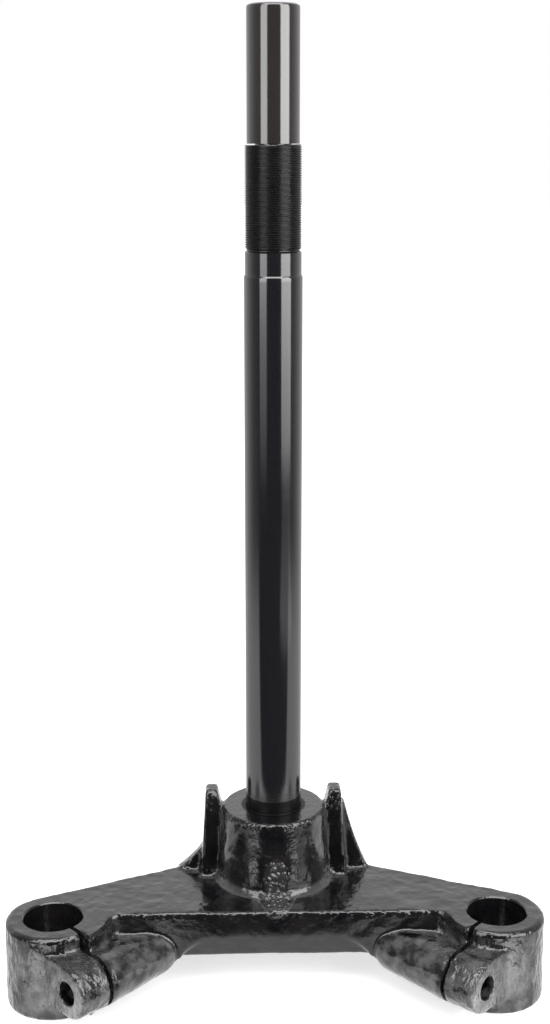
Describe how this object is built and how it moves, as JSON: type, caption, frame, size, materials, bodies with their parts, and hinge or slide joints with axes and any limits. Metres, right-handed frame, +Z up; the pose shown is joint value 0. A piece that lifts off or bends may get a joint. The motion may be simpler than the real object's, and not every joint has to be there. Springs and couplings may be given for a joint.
{
  "type": "lower fork crown with steering stem",
  "caption": "Black cast lower fork crown for a small motorcycle, with split pinch clamps for the fork legs and a long threaded steering stem pressed into its neck.",
  "frame": {"origin": "on the steering axis, where the stem's shaft leaves the lower bearing seat on top of the neck", "axes": "+Z up the steering stem, +X towards the fork leg at the right of the picture, -Y to the front of the crown, where the pinch bolts are"},
  "size_m": [0.247, 0.1109, 0.44],
  "materials": {
    "black_casting": "thick gloss black enamel over a rough sand casting",
    "blackened_steel": "turned steel with a dark oiled finish, smooth journals and a matt thread"
  },
  "bodies": {
    "root": {"crown_neck": "black_casting", "crown_middle": "black_casting", "crown_arm_left": "black_casting", "crown_arm_right": "black_casting", "steering_stem": "blackened_steel"}
  },
  "joints": []
}
